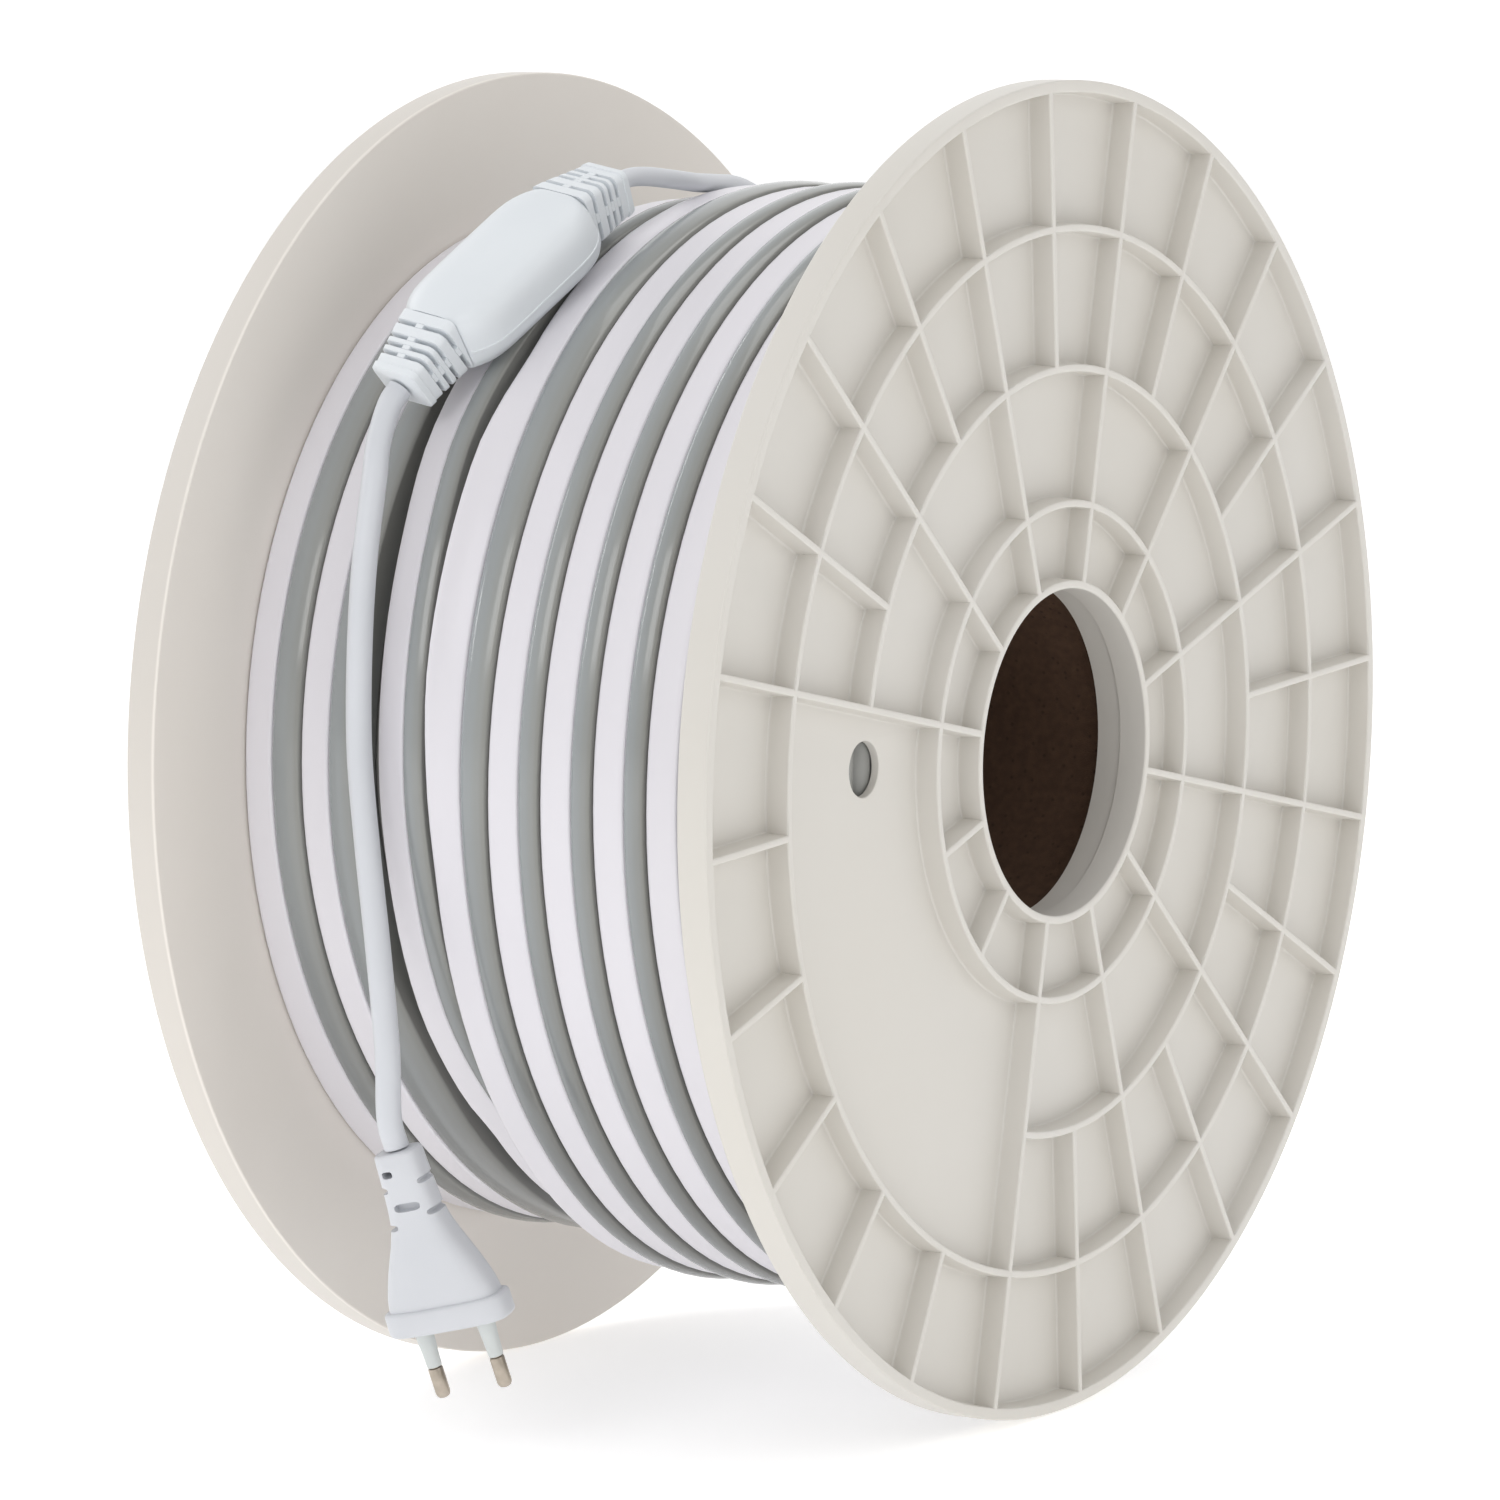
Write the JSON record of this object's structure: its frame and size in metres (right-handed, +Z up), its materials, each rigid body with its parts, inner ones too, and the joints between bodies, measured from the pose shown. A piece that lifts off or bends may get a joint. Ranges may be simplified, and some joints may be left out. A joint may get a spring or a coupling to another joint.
{
  "type": "led strip light on a reel",
  "caption": "Flexible strip light wound on a ribbed plastic reel, with an in-line rectifier, a short supply cord and a flat mains plug.",
  "frame": {"origin": "on the floor under the middle of the reel, where the reel stands on the rims of its flanges", "axes": "+X along the reel's axis towards the near flange's ribbed face, +Z up, -Y towards the side where the supply cord and the plug hang"},
  "size_m": [0.1794, 0.36, 0.36],
  "materials": {
    "reel_plastic": "satin cream moulding",
    "cardboard": "bare brown board",
    "strip_jacket": "smooth white jacket with a grey translucent face",
    "strip_diffuser": "smooth grey translucent face",
    "rectifier_plastic": "satin white moulding",
    "cord_sheath": "satin white sheath",
    "plug_plastic": "satin white moulding",
    "pin_metal": "nickel-plated brass",
    "pin_sleeve": "satin pale grey sleeve"
  },
  "bodies": {
    "root": {"flange_near": "reel_plastic", "flange_far": "reel_plastic", "core_tube": "cardboard", "strip_winding": "strip_jacket", "rectifier_body": "rectifier_plastic", "relief_supply": "rectifier_plastic", "relief_output": "rectifier_plastic", "strip_connector": "rectifier_plastic", "supply_cord": "cord_sheath", "output_lead": "cord_sheath", "plug_body": "plug_plastic", "pin_left": "pin_metal", "pin_right": "pin_metal", "pin_sleeve_left": "pin_sleeve", "pin_sleeve_right": "pin_sleeve"}
  },
  "joints": []
}
